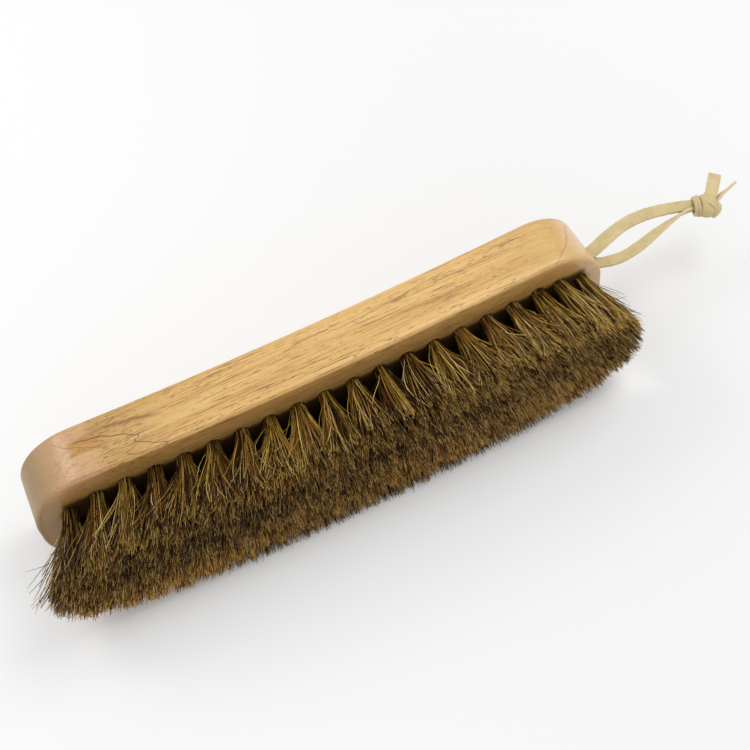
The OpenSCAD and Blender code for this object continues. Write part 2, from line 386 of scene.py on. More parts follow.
def line_mark(g, x, across, points, steep, width, strength, waver):
    """How strongly a thin line through the points shows at each place."""
    run, rise = (across, x) if steep else (x, across)
    distance = g.away(rise, g.add(g.curve(run, points), waver))
    mark = g.range(distance, width * LINE_SOFT_CORE, width, strength, 0.0)
    first, last = points[0][0], points[-1][0]
    fade = LINE_FADE * (last - first)
    begin = g.range(run, first, first + fade)
    finish = g.range(run, last - fade, last, 1.0, 0.0)
    return g.times(mark, begin, finish)


def wood_pores(g, x, p):
    """Pores: short bold dashes, long thin ones, and dots where the surface cuts across the grain."""
    bold, dashes, long, fine = (
        g.range(g.noise(p, stretch, detail), *limits, 0.0, strength)
        for stretch, detail, limits, strength in (BOLD_PORES, DASH_PORES, LONG_PORES, FINE_PORES)
    )
    patches = g.range(g.noise(p, PORE_PATCHES, 1.0), *PATCH_LIMITS, PORES_BETWEEN, 1.0)
    pore = g.times(bold, patches)
    for other in (g.times(dashes, g.range(x, *DASHES_FROM)), long, fine):
        pore = g.math("MAXIMUM", pore, other)
    thong_share = g.range(x, *THONG_PORES, 1.0, THONG_PORES_LEFT)
    return g.times(pore, thong_share, g.range(x, *PLAIN_PORES, 1.0, PLAIN_PORES_LEFT))


def wood_ends(g, colour, x, z, across, p):
    """Darker ends; the plain one has a painted pink sheen, a window's reflection in its varnish, round an
    amber patch.
    """
    for start, full, strength, tone in END_TONES:
        colour = g.mix(g.times(g.range(x, start, full), strength), colour, tone)
    ragged = g.times(g.minus(g.noise(p, RAGGED_STRETCH, 3.0), 0.5), RAGGED_BY)
    patch = g.times(
        g.range(g.add(x, ragged), *PATCH_LEFT),
        g.range(x, *PATCH_RIGHT),
        g.range(g.away(across, PATCH_MIDDLE), *PATCH_EDGE),
    )
    # Painted sheen: pink reflection of a window on the plain end, round the amber patch
    painted_sheen = g.times(
        g.range(x, *SHEEN_RIGHT), g.range(x, *SHEEN_LEFT), g.minus(1.0, patch), g.range(z, *SHEEN_Z)
    )
    colour = g.mix(g.times(painted_sheen, SHEEN_STRENGTH), colour, SHEEN_COLOUR)
    colour = g.mix(g.times(patch, PATCH_STRENGTH), colour, PATCH_COLOUR)
    past_arc = g.range(g.minus(x, g.curve(across, GROWTH_ARC)), *PAST_ARC)
    return g.mix(g.times(past_arc, PAST_ARC_STRENGTH), colour, PAST_ARC_COLOUR)


def wood_figure(g, colour, x, across, p):
    """The lines of the side face, which stop short of the bristle face."""
    waver = g.times(g.minus(g.noise(p, WAVER_STRETCH, 3.0), 0.5), LINE_WAVER)
    on_side = g.range(across, *SIDE_ABOVE)
    for points, steep, width, strength, shade in FIGURE_LINES:
        mark = line_mark(g, x, across, points, steep, width, strength, waver)
        colour = g.mix(g.times(mark, on_side), colour, shade)
    return colour


def bristle_face(g, colour, x, z, across):
    """Painted shade: the bristle face, which faces away from the lights, is darker, most of all between the
    tufts, where the hair shades it. Its edge has a dark line.
    """
    first, last = min(ROWS.values()), max(ROWS.values())
    face = g.range(across, *FACE_BELOW)
    # Painted shade of the bristle face, which faces away from the lights
    colour = g.mix(g.times(face, FACE_SHADE_STRENGTH), colour, FACE_SHADE_COLOUR)
    between = g.times(
        g.range(g.away(z, MID_Z), *SHADE_BAND),
        g.range(x, first - SHADE_PAST_ROWS, first),
        g.range(x, last + SHADE_PAST_ROWS, last),
    )
    # Painted shade between the tufts, where the hair shades the face
    painted_shade = g.times(face, between)
    colour = g.mix(g.times(painted_shade, PAINTED_SHADE_STRENGTH), colour, PAINTED_SHADE_COLOUR)
    edge_line = g.times(g.range(g.away(across, EDGE_HEIGHT), *EDGE_SOFT), g.range(z, *EDGE_Z))
    return g.mix(g.times(edge_line, EDGE_STRENGTH), colour, EDGE_COLOUR), painted_shade


def block_edges(g, x):
    """Normal with softened edges. The ends are sanded rounder than the long edges."""
    radius = g.range(g.math("ABSOLUTE", x), *ROUND_X, *(r * MM for r in ROUND_R))
    edges = g.node("ShaderNodeBevel", {"Radius": radius}, samples=8).outputs[0]
    past_plain = g.math("MAXIMUM", g.minus(PLAIN_FALL[0], x), 0.0)
    past_thong = g.math("MAXIMUM", g.minus(x, THONG_FALL[0]), 0.0)
    fall = g.add(
        g.times(g.math("POWER", past_plain, 2.0), PLAIN_FALL[1]),
        g.times(g.math("POWER", past_thong, 2.0), THONG_FALL[1]),
    )
    return g.bump(fall, 1.0, 1.0, edges)


def wood_material():
    """Varnished hardwood with its grain along X: pores, streaks, growth lines and the end figure."""
    g = Graph("varnished_wood")
    x, y, z, p = g.place()
    # Height across the side face, with the bow of the block taken out
    across = g.minus(y, g.math("DIVIDE", g.times(x, x), 2 * BOW_R))
    bands = g.noise(p, (0.008, 0.16, 0.16), 3.0, 0.6, 0.4)
    streaks = g.noise(p, (0.02, 1.2, 1.2), 4.0, 0.6)
    tone = g.add(g.times(bands, BAND_SHARE), g.times(streaks, STREAK_SHARE))
    pore = wood_pores(g, x, p)
    colour = g.mix(g.times(pore, PORE_STRENGTH), g.ramp(tone, WOOD_TONES), PORE_COLOUR)
    colour = wood_ends(g, colour, x, z, across, p)
    colour = wood_figure(g, colour, x, across, p)
    colour, painted_shade = bristle_face(g, colour, x, z, across)

    edges = block_edges(g, x)
    waves = g.noise(p, (0.05, 0.2, 0.2), 2.0)
    height = g.minus(g.times(waves, 0.3), pore)
    # Less coat and gloss where the shade between the tufts is painted
    coat = g.times(g.range(painted_shade, *SHADE_DULLS, COAT, 0.0), g.range(x, *END_COAT_X, 1.0, END_COAT_LEFT))
    return g.surface(
        Base_Color=colour,
        Roughness=g.add(g.range(streaks, 0.3, 0.7, 0.32, 0.44), g.times(pore, 0.2)),
        Normal=g.bump(streaks, 0.02, 0.35, g.bump(height, 0.05, 0.5, edges)),
        Specular_IOR_Level=g.range(painted_shade, *SHADE_DULLS, GLOSS, SHADED_GLOSS),
        Coat_Weight=coat,
        Coat_Roughness=g.range(x, *COAT_ROUGH_X, *COAT_ROUGH),
        Coat_Normal=g.bump(waves, 0.06, 0.5, edges),
    )


# ---------------------------------------------------------------- hair, leather and steel


HAIR_TONES = (
    (0.00, "#150d06"),
    (0.12, "#25170a"),
    (0.28, "#442c10"),
    (0.48, "#765617"),
    (0.66, "#a6842c"),
    (0.86, "#ccab55"),
    (1.00, "#ecd8a0"),
)
# Painted light and shade on the hair by height: lighter low down at the plain end, darker at the very
# bottom. For each change: z where it starts and where it's full, then the x up to which the plain end's
# value holds, the x from which the other one does, and both values
HEIGHT_LIGHT_AND_SHADE = (
    (22.0, 4.0, -62.0, -30.0, 1.6, 1.0),
    (7.0, 2.5, -74.0, -48.0, 0.95, 0.5),
    (40.0, 20.0, -90.0, -72.0, 1.35, 1.0),
)
# Painted light: a warmer, more orange tone low down, where the tips catch more light
LOW_TIP_LIGHT_COLOUR, LOW_TIP_LIGHT_Z, LOW_TIP_LIGHT_STRENGTH = "#9a6420", (26.0, 8.0), (0.05, 0.4)
REDDISH_COLOUR, REDDISH_STRENGTH = "#8a5420", 0.45
REDDISH_STRETCH, REDDISH_LIMITS = (0.3, 0.1, 0.3), (0.46, 0.66)
TIP_COLOUR, TIP_STRENGTH, TIP_FROM = "#cda554", 0.6, 0.9
# Painted shade of the root and how far along the hair it reaches, outside and deep in the brush
ROOT_SHADE, ROOT_SHADE_END = (0.6, 0.12), (0.45, 0.9)
LEATHER_TONES = ((0.3, "#ad9968"), (0.5, "#bca878"), (0.7, "#c9b587"))
STEEL_TONES = ((0.3, "#8d9093"), (0.7, "#c3c6c9"))
CREASE_COLOUR, CREASE_STRENGTH, CELLS_PER_MM = "#a58d5a", 0.08, 2.6
CUT_EDGE_COLOUR, CUT_EDGE_STRENGTH = "#d9c89c", 0.4
# Painted shade in crevices, from ambient occlusion: colour, strength and reach
CREVICE_SHADE_COLOUR, CREVICE_SHADE_STRENGTH, CREVICE_DISTANCE = "#5c4523", 0.9, 1.2


def hair_material():
    """Undyed horsehair: each strand has its own shade and is paler at the cut tip; painted shade darkens the
    root, and painted light and shade change with height.
    """
    g = Graph("horsehair")
    tint, along, depth = (g.attribute(name) for name in ("tint", "along", "depth"))
    x, _, z, p = g.place()
    colour = g.ramp(tint, HAIR_TONES)
    # Painted light: warmer and more orange low down, where the tips catch more light; and reddish in places
    low_tip_light = g.times(g.range(z, *LOW_TIP_LIGHT_Z, *LOW_TIP_LIGHT_STRENGTH), g.range(tint, 0.1, 0.4))
    colour = g.mix(low_tip_light, colour, LOW_TIP_LIGHT_COLOUR)
    reddish = g.range(g.noise(p, REDDISH_STRETCH, 1.0), *REDDISH_LIMITS, 0.0, REDDISH_STRENGTH)
    colour = g.mix(g.times(reddish, g.range(tint, 0.1, 0.3)), colour, REDDISH_COLOUR)
    # Painted shade on the roots, darker and reaching further deep in the brush
    root_shade, shade_end = (g.range(depth, 0.0, 1.0, *pair) for pair in (ROOT_SHADE, ROOT_SHADE_END))
    shade = g.range(along, 0.0, shade_end, root_shade, 1.0)
    # Painted light and shade by height
    for z_start, z_full, x_plain, x_rest, plain, rest in HEIGHT_LIGHT_AND_SHADE:
        shade = g.times(shade, g.range(z, z_start, z_full, 1.0, g.range(x, x_plain, x_rest, plain, rest)))
    pale_tip = g.times(g.range(along, TIP_FROM, 1.0), g.range(tint, 0.25, 0.7, 0.0, TIP_STRENGTH))
    colour = g.mix(pale_tip, colour, TIP_COLOUR)
    return g.surface(
        Base_Color=g.mix(1.0, colour, g.grey(shade), "MULTIPLY"),
        Roughness=g.range(g.noise(p, (2.0, 0.3, 2.0), 1.0), 0.3, 0.7, 0.34, 0.5),
        Specular_IOR_Level=g.range(tint, 0.1, 0.6, 0.12, 0.45),
        Normal=g.bump(g.noise(p, (6.0, 0.8, 6.0), 1.0), 0.01, 0.3),
    )


def leather_material():
    """Pale tanned strip: matt, with fine grain, faint creases and a rawer cut edge."""
    g = Graph("pale_leather")
    p = g.place()[-1]
    broad = g.noise(p, 0.22, 3.0, 0.6)
    fine = g.noise(p, 1.6, 4.0, 0.6)
    cell_values = {"Vector": p, "Scale": CELLS_PER_MM}
    cells = g.node("ShaderNodeTexVoronoi", cell_values, feature="DISTANCE_TO_EDGE").outputs[0]
    colour = g.ramp(g.add(g.times(broad, 0.6), g.times(fine, 0.4)), LEATHER_TONES)
    colour = g.mix(g.range(cells, 0.0, 0.09, CREASE_STRENGTH, 0.0), colour, CREASE_COLOUR)
    colour = g.mix(g.times(g.attribute("edge"), CUT_EDGE_STRENGTH), colour, CUT_EDGE_COLOUR)
    # Painted shade darkens the crevices where two turns of the strip press together
    occlusion = g.node("ShaderNodeAmbientOcclusion", {"Distance": CREVICE_DISTANCE * MM}, samples=8)
    crevice_shade = g.range(occlusion.outputs["AO"], 0.25, 0.8, CREVICE_SHADE_STRENGTH, 0.0)
    colour = g.mix(crevice_shade, colour, CREVICE_SHADE_COLOUR)
    height = g.add(g.times(fine, 0.5), g.range(cells, 0.0, 0.15))
    return g.surface(
        Base_Color=colour,
        Roughness=g.range(fine, 0.3, 0.7, 0.52, 0.7),
        Normal=g.bump(height, 0.06, 0.5),
        Sheen_Weight=0.08,
    )


def steel_material():
    """Drawn steel wire, with faint lengthwise scratches."""
    g = Graph("drawn_steel")
    scratches = g.noise(g.place()[-1], (3.0, 0.2, 3.0), 3.0)
    return g.surface(
        Base_Color=g.ramp(scratches, STEEL_TONES),
        Metallic=1.0,
        Roughness=g.range(scratches, 0.3, 0.7, 0.25, 0.45),
        Normal=g.bump(scratches, 0.01, 0.3),
    )


# ---------------------------------------------------------------- objects


def paint(obj, material):
    obj.data.materials.clear()
    obj.data.materials.append(material)


def add_object(name, data):
    made = bpy.data.objects.new(name, data)
    bpy.context.scene.collection.objects.link(made)
    return made


def add_attribute(mesh, key, values):
    layer = mesh.attributes.new(key, "FLOAT", "POINT")
    layer.data.foreach_set("value", np.asarray(values, np.float32))


def normalised(v):
    return v / np.linalg.norm(v, axis=-1, keepdims=True)


# ---------------------------------------------------------------- horsehair


def row_offsets(k):
    if k in (1, len(ROWS)):
        return END_OFFSETS
    if k in (2, len(ROWS) - 1):
        return SECOND_OFFSETS
    return OFFSETS


def tuft_at(k, offset):
    """One tuft: the mouth and axis of its hole, how its hair leans and spreads, and its kind."""
    x = ROWS[k]
    lean = TIP_FAN * x / BLOCK_END - TIP_SET
    spread = SIDE_SPREAD * offset
    at_end = min(k, len(ROWS) + 1 - k) <= 2
    return SimpleNamespace(
        offset=offset,
        lean=lean,
        spread=spread,
        mouth=np.array([x, face_y(x), MID_Z + offset]),
        axis=normalised(np.array([lean * HOLE_SHARE, -FREE_LENGTH, spread * HOLE_SHARE])),
        kind=OUTER if abs(offset) > OUTER_BEYOND or at_end else INNER,
    )


def disc_from_square(square):
    """Points of the unit disc for points of the square from -1 to 1, evenly spread."""
    a, b = square[:, 0], square[:, 1]
    wide = np.abs(a) > np.abs(b)
    radius = np.where(wide, a, b)
    with np.errstate(divide="ignore", invalid="ignore"):
        angle = np.where(wide, math.pi / 4 * b / a, math.pi / 2 - math.pi / 4 * a / b)
    angle = np.nan_to_num(angle)
    return np.stack([radius * np.cos(angle), radius * np.sin(angle)], 1)


def rim(x, z):
    """Place against the rounded outline of the trimmed face: 1 on it, more outside."""
    half_x = np.where(x < 0, TIP_REACH_PLAIN, TIP_REACH_THONG)
    shares = (np.abs(x) / half_x) ** RIM_POWER + (np.abs(z - MID_Z) / TIP_HALF_W) ** RIM_POWER
    return shares ** (1 / RIM_POWER)


def inside_rim(mouth, tip_x, tip_z, rng):
    """Draws tips that stand past the outline back towards their own tuft, so the ends come out round."""
    count = len(tip_x)
    low, high = np.zeros(count), np.ones(count)
    for _ in range(RIM_SEARCH_STEPS):
        middle = (low + high) / 2
        past = rim(mouth[0] + (tip_x - mouth[0]) * middle, mouth[2] + (tip_z - mouth[2]) * middle) > 1
        high = np.where(past, middle, high)
        low = np.where(past, low, middle)
    drawn = low * (1 + rng.normal(0, RIM_SCATTER, count) - RIM_PULL * rng.uniform(0, 1, count))
    share = np.where(rim(tip_x, tip_z) > 1, drawn, 1.0)
    return mouth[0] + (tip_x - mouth[0]) * share, mouth[2] + (tip_z - mouth[2]) * share


def pick_locks(square, rng):
    """Places of the tuft's locks in the square, and the number of each hair's lock."""
    grid = np.stack(np.meshgrid(np.arange(LOCK_GRID), np.arange(LOCK_GRID)), -1).reshape(-1, 2)
    places = (grid + rng.uniform(0, 1, grid.shape)) * 2 / LOCK_GRID - 1
    distance = np.linalg.norm(square[:, None] - places[None], axis=2)
    return places, np.argmin(distance + rng.uniform(0, LOCK_MIX, distance.shape), axis=1)


def hair_tips(tuft, square, places, lock, rng):
    """Tip of each hair, and which hairs splay past the outline of the trimmed face.

    Hairs of one lock keep together, and the tips fill the tuft's share of the face and a bit more.
    """
    n, mouth = len(square), tuft.mouth
    square = square + tuft.kind.lock_pull * (places[lock] - square) + rng.normal(0, HAIR_SCATTER, (n, 2))
    square = square * TIP_OVERLAP + rng.normal(0, LOCK_SCATTER, places.shape)[lock]
    tip_x = mouth[0] + tuft.lean + square[:, 0] * TIP_SHARE_X
    tip_z = mouth[2] + tuft.spread + square[:, 1] * TIP_SHARE_Z
    tip_x, tip_z = inside_rim(mouth, tip_x, tip_z, rng)
    tip_z = np.clip(tip_z, TIP_LOWEST, BLOCK_W + TIP_ABOVE)
    near_rim = np.clip((rim(tip_x, tip_z) - 1 + RIM_BAND) / RIM_BAND, 0, 1) ** 2
    length = FREE_LENGTH + rng.normal(0, TRIM_SD, n) - EDGE_TRIM * near_rim * rng.uniform(0, 1, n) ** 2
    # Some hairs of the outermost tufts splay past the outline and end nearer the block
    splayed = (near_rim > SPLAY_NEAR) & (rng.uniform(0, 1, n) < SPLAY_SHARE)
    stretch = np.where(splayed, 1 + rng.uniform(*SPLAY_STRETCH, n), 1.0)
    tip_x = mouth[0] + (tip_x - mouth[0]) * stretch
    tip_z = np.maximum(mouth[2] + (tip_z - mouth[2]) * stretch, TIP_LOWEST)
    length = length - np.where(splayed, (stretch - 1) * rng.uniform(*SPLAY_SHORTENING, n), 0)
    return np.stack([tip_x, tip_y(tip_x, length), tip_z], 1), splayed


def hair_lines(tuft, start, tip, places, lock, rng):
    """Centre lines (strand, point, xyz) from down in the hole to the tips, and which hairs are wild."""
    n, axis = len(start), tuft.axis
    reach = np.linalg.norm(tip - start, axis=1, keepdims=True)
    out_way = normalised(axis + rng.normal(0, ROOT_TURN, (n, 3)))
    lock_bend = rng.normal(0, LOCK_BEND, (len(places), 3))[lock]
    bend = (lock_bend + rng.normal(0, HAIR_BEND, (n, 3))) * reach
    wild = rng.uniform(0, 1, (n, 1)) < WILD_SHARE
    bend = np.where(wild, bend * WILD_BEND, bend)
    p1 = start + out_way * reach * ROOT_HANDLE + bend * ROOT_HANDLE
    tip_way = normalised(normalised(tip - p1) + rng.normal(0, tuft.kind.tip_turn, (n, 3)))
    p2 = tip - tip_way * reach * TIP_HANDLE + bend
    t = np.linspace(0, 1, tuft.kind.points - 1)[None, :, None]
    curve = (
        (1 - t) ** 3 * start[:, None]
        + 3 * t * (1 - t) ** 2 * p1[:, None]
        + 3 * t**2 * (1 - t) * p2[:, None]
        + t**3 * tip[:, None]
    )
    deep = start - axis * HOLE_DEPTH_SHOWN
    lines = np.concatenate([deep[:, None], curve], 1)
    lines[..., 2] = np.maximum(lines[..., 2], LINE_LOWEST)
    return lines, wild[:, 0]


def hair_shades(tuft, splayed, wild, lock, rng):
    """Radius and tint of each hair: mixed browns, some black hairs, and a few thin pale ones."""
    n, kind = len(lock), tuft.kind
    towards_thong = tuft.mouth[0] / BLOCK_END
    lock_tint = rng.normal(0, LOCK_TINT_SD, LOCK_GRID**2)[lock]
    # The mean by offset is partly painted light and shade: outer tufts paler, inner ones darker
    mean = np.interp(tuft.offset, OFFSETS, TINT_MEANS) + rng.normal(0, ROW_TINT_SD)
    mean = mean + kind.end_tint * towards_thong + np.where(splayed, SPLAY_TINT * abs(towards_thong), 0)
    tints = np.clip(mean + lock_tint + rng.normal(0, HAIR_TINT_SD, n), *TINT_LIMITS)
    radii = rng.uniform(*HAIR_RADII, n)
    lot = rng.uniform(0, 1, n)
    tints = np.where(lot < kind.black_share, rng.uniform(*BLACK_TINTS, n), tints)
    pale = (lot > PALE_FROM) | wild
    tints = np.where(pale, rng.uniform(*PALE_TINTS, n), tints)
    return np.where(pale, PALE_THINNER * radii, radii), tints


def tuft_strands(tuft, rng):
    """Centre lines, radii, tints and depths of one tuft's hairs."""
    across = -normalised(np.cross(tuft.axis, (0, 0, 1)))
    upward = np.cross(tuft.axis, across)
    square = rng.uniform(-1, 1, (tuft.kind.strands, 2))
    root = disc_from_square(square) * ROOT_R
    start = tuft.mouth + root[:, :1] * across + root[:, 1:] * upward
    places, lock = pick_locks(square, rng)
    tip, splayed = hair_tips(tuft, square, places, lock, rng)
    lines, wild = hair_lines(tuft, start, tip, places, lock, rng)
    radii, tints = hair_shades(tuft, splayed, wild, lock, rng)
    return lines, radii, tints, np.full(len(lines), tuft.kind.depth)


def tube_arrays(lines, radii, *shades):
    """Corners, side and end faces, places along the hair and shades of closed hairs."""
    count, points = lines.shape[:2]
    way = normalised(np.gradient(lines, axis=1))
    side = normalised(np.cross(way, np.array(SIDE_REFERENCE)))
    other = np.cross(way, side)
    angles = (np.arange(STRAND_SIDES) * 2 * math.pi / STRAND_SIDES)[None, None, :, None]
    ring = np.cos(angles) * side[:, :, None] + np.sin(angles) * other[:, :, None]
    taper = np.ones(points)
    taper[-1] = TIP_TAPER
    corners = lines[:, :, None] + ring * (radii[:, None] * taper[None, :])[:, :, None, None]
    per_strand = points * STRAND_SIDES
    corner = np.arange(STRAND_SIDES)
    step = np.arange(points - 1)[:, None] * STRAND_SIDES
    a, b = step + corner, step + (corner + 1) % STRAND_SIDES
    sides = np.stack([a, b, b + STRAND_SIDES, a + STRAND_SIDES], -1).reshape(-1, 4)
    first = np.arange(count)[:, None] * per_strand
    quads = (first[:, :, None] + sides[None]).reshape(-1, 4)
    caps = np.concatenate([first + corner[::-1], first + per_strand - STRAND_SIDES + corner])
    along = np.tile(np.repeat(np.linspace(0, 1, points), STRAND_SIDES), count)
    return corners.reshape(-1, 3), quads, caps, along, *(np.repeat(shade, per_strand) for shade in shades)


def strand_mesh(name, groups):
    """One mesh object of all the hairs in (lines, radii, tints, depths) groups."""
    parts = [tube_arrays(*group) for group in groups]
    starts = np.cumsum([0] + [len(part[0]) for part in parts[:-1]])
    corners = np.concatenate([part[0] for part in parts])
    quads = np.concatenate([part[1] + start for part, start in zip(parts, starts)])
    caps = np.concatenate([part[2] + start for part, start in zip(parts, starts)])
    sizes = np.concatenate([np.full(len(quads), 4), np.full(len(caps), STRAND_SIDES)])
    loops = np.concatenate([quads.ravel(), caps.ravel()])
    loop_starts = np.concatenate([[0], np.cumsum(sizes)[:-1]])
    mesh = bpy.data.meshes.new(name)
    mesh.vertices.add(len(corners))
    mesh.vertices.foreach_set("co", (corners * MM).astype(np.float32).ravel())
    mesh.loops.add(len(loops))
    mesh.loops.foreach_set("vertex_index", loops.astype(np.int32))
    mesh.polygons.add(len(sizes))
    mesh.polygons.foreach_set("loop_start", loop_starts.astype(np.int32))
    mesh.polygons.foreach_set("use_smooth", np.ones(len(sizes), bool))
    mesh.update(calc_edges=True)
    for key, column in (("along", 3), ("tint", 4), ("depth", 5)):
        add_attribute(mesh, key, np.concatenate([part[column] for part in parts]))
    return add_object(name, mesh)


def build_row(k, material):
    """All the hair of one cross row, from down in its holes to the tips."""
    rng = np.random.default_rng(HAIR_SEED + k)
    groups = [tuft_strands(tuft_at(k, offset), rng) for offset in row_offsets(k)]
    bristles = strand_mesh(f"bristles_{k:02d}", groups)
    paint(bristles, material)
    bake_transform(bristles)
    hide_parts(f"tuft_row_{k:02d}")


# ---------------------------------------------------------------- thong


RING_POINTS = 20
SECTION_POWER = 0.28
EDGE_FROM = 0.46
PATH_STEPS, TAIL_STEPS, KNOT_STRIP_STEPS = 120, 30, 40
STRAND_SEED, TAIL_SEED, KNOT_SEED = 3, 7, 1
STRIP_ROUGH, LOBE_ROUGH, FOLD_ROUGH = 0.05, 0.02, 0.01
LOBE_CROWN, BAND_CROWN = 0.5, 0.6
BAND_STEPS = 72
LUMP_AROUND, LUMP_DOWN, LUMP_POWER = 48, 24, 0.72
STRIP_SHARP_ANGLE, LUMP_SHARP_ANGLE = 50, 60

# The necks end here and the strands start. The spans from the bore's mouth to here, for the necks, and just
# past here, for the strands, go to bend(), which only fixes the pieces' transforms
NECK_END_X = 103.6
NECK_BEND = (BLOCK_END, NECK_END_X - 0.2)
STRAND_BEND = (NECK_END_X + 0.6, NECK_END_X + 7.0)

# Rows of the leather strips: x, y, z, width, thickness and roll in degrees
UPPER_STRAND = (
    (96.5, 3.2, 23.8, 4.2, 1.1, 0),
    (100.0, 3.7, 23.8, 4.4, 1.1, 0),
    (103.6, 4.6, 23.9, 4.6, 1.1, 4),
    (107.2, 5.8, 24.0, 4.7, 1.1, 6),
    (113.1, 7.6, 24.2, 4.6, 1.1, 8),
    (118.9, 8.8, 24.3, 4.5, 1.1, 8),
    (125.1, 9.0, 24.3, 4.4, 1.1, 10),
    (130.8, 8.2, 24.2, 4.3, 1.1, 12),
    (137.7, 6.5, 24.0, 4.0, 1.1, 16),
    (142.3, 5.1, 23.9, 3.4, 1.1, 25),
    (145.0, 3.8, 23.9, 3.2, 1.1, 25),
)
LOWER_STRAND = (
    (96.5, 3.2, 22.2, 4.2, 1.1, 0),
    (100.0, 2.2, 22.2, 4.2, 1.1, 0),
    (103.6, 0.2, 22.2, 4.2, 1.1, -4),
    (108.2, -1.1, 22.2, 4.3, 1.1, -6),
    (113.0, -1.4, 22.2, 4.3, 1.1, -10),
    (119.7, -0.3, 22.3, 4.3, 1.1, -16),
    (126.7, 1.6, 22.5, 4.1, 1.1, -28),
    (133.5, 3.2, 22.6, 3.8, 1.1, -48),
    (139.7, 4.1, 22.8, 3.2, 1.1, -70),
    (144.5, 3.4, 23.0, 3.0, 1.1, -70),
)
LOBE = (
    (149.9, 3.0, 22.4, 2.6, 1.3, -40),
    (150.2, 1.8, 23.6, 3.0, 1.3, -36),
    (150.1, 0.4, 24.1, 3.0, 1.3, -32),
    (149.6, -0.9, 24.0, 2.4, 1.3, -44),
    (148.5, -1.6, 23.0, 1.8, 1.2, -60),
    (147.2, -1.5, 21.8, 1.4, 1.1, -75),
)
FOLD = (
    (147.2, 1.9, 25.9, 0.9, 0.8, 0),
    (147.8, 0.9, 26.1, 1.1, 0.9, 0),
    (148.0, 0.1, 26.0, 1.2, 0.9, -10),
    (148.4, -0.6, 25.5, 1.2, 0.9, -25),
    (148.7, -1.3, 24.5, 1.2, 0.9, -45),
    (148.4, -2.0, 23.5, 1.1, 0.9, -60),
    (147.4, -2.4, 22.8, 0.9, 0.8, -60),
)
BROAD_TAIL = (
    (148.5, 3.4, 24.9, 4.3, 1.1, 8),
    (151.0, 5.7, 25.1, 4.4, 1.1, 8),
    (153.6, 8.6, 25.2, 4.4, 1.1, 8),
    (156.1, 11.4, 25.2, 4.4, 1.1, 6),
)
THIN_TAIL = (
    (149.5, 2.2, 22.9, 2.4, 1.1, -60),
    (152.3, 3.4, 23.0, 2.7, 1.1, -52),
    (154.6, 4.4, 23.2, 2.6, 1.1, -55),
    (157.4, 5.0, 23.5, 2.2, 1.0, -66),
    (161.0, 5.9, 24.0, 1.5, 0.9, -70),
)

# Knot: the way the loop runs into it and the way across, then its round body and two turns of
# collar, with their centres, radii, and the turns' width and thickness
KNOT_AXIS = (0.95, -0.307, 0.0)
KNOT_ACROSS = (0.307, 0.95, 0.0)
KNOT_BODY = ((147.5, 2.5, 23.2), (4.6, 3.8, 3.1))
KNOT_BANDS = {
    "knot_collar": ((143.7, 4.2, 23.2), (2.9, 2.5), 1.5, 1.1),
    "knot_wrap": ((144.6, 3.9, 23.2), (3.3, 2.7), 1.2, 1.0),
}


def smooth_path(points, count):
    """Catmull-Rom line through rows of numbers, at count even steps of the parameter."""
    points = np.asarray(points, float)
    ends = np.concatenate([[2 * points[0] - points[1]], points, [2 * points[-1] - points[-2]]])
    spots = np.linspace(0, len(points) - 1, count)
    index = np.minimum(spots.astype(int), len(points) - 2)
    t = (spots - index)[:, None]
    a, b, c, d = (ends[index + i] for i in range(4))
    return 0.5 * (
        2 * b + (c - a) * t + (2 * a - 5 * b + 4 * c - d) * t**2 + (3 * b - a - 3 * c + d) * t**3
    )


def leather_object(name, points, faces, edges, sharp_angle, material):
    """A smooth leather piece from points in millimetres, face corner lists and edge shares."""
    mesh = bpy.data.meshes.new(name)
    mesh.from_pydata([tuple(q) for q in np.asarray(points) * MM], [], faces)
    mesh.shade_smooth()
    mesh.set_sharp_from_angle(angle=math.radians(sharp_angle))
    add_attribute(mesh, "edge", edges)
    made = add_object(name, mesh)
    paint(made, material)
    return made


def strip_section(width, thickness, crown=0.0):
    """Rounded rectangle (across, through) of the strip, with a crown on its faces, and its edge share."""
    angles = np.arange(RING_POINTS) / RING_POINTS * 2 * math.pi + math.pi / RING_POINTS
    cos, sin = np.cos(angles), np.sin(angles)
    across = np.sign(cos) * np.abs(cos) ** SECTION_POWER * width / 2
    through = np.sign(sin) * np.abs(sin) ** SECTION_POWER * thickness / 2
    through = through * (1 + crown * (1 - (2 * across / width) ** 2))
    return across, through, (np.abs(across) > EDGE_FROM * width).astype(float)


def strip_object(name, sections, material, closed=False):
    """Strip through its sections, each of ring points and their edge shares."""
    count, ring = len(sections), RING_POINTS
    faces = []
    for i in range(count if closed else count - 1):
        j = (i + 1) % count
        for c in range(ring):
            d = (c + 1) % ring
            faces.append((i * ring + c, i * ring + d, j * ring + d, j * ring + c))
    if not closed:
        faces.append(tuple(range(ring))[::-1])
        faces.append(tuple((count - 1) * ring + c for c in range(ring)))
    points, edges = (np.concatenate(part) for part in zip(*sections))
    return leather_object(name, points, faces, edges, STRIP_SHARP_ANGLE, material)


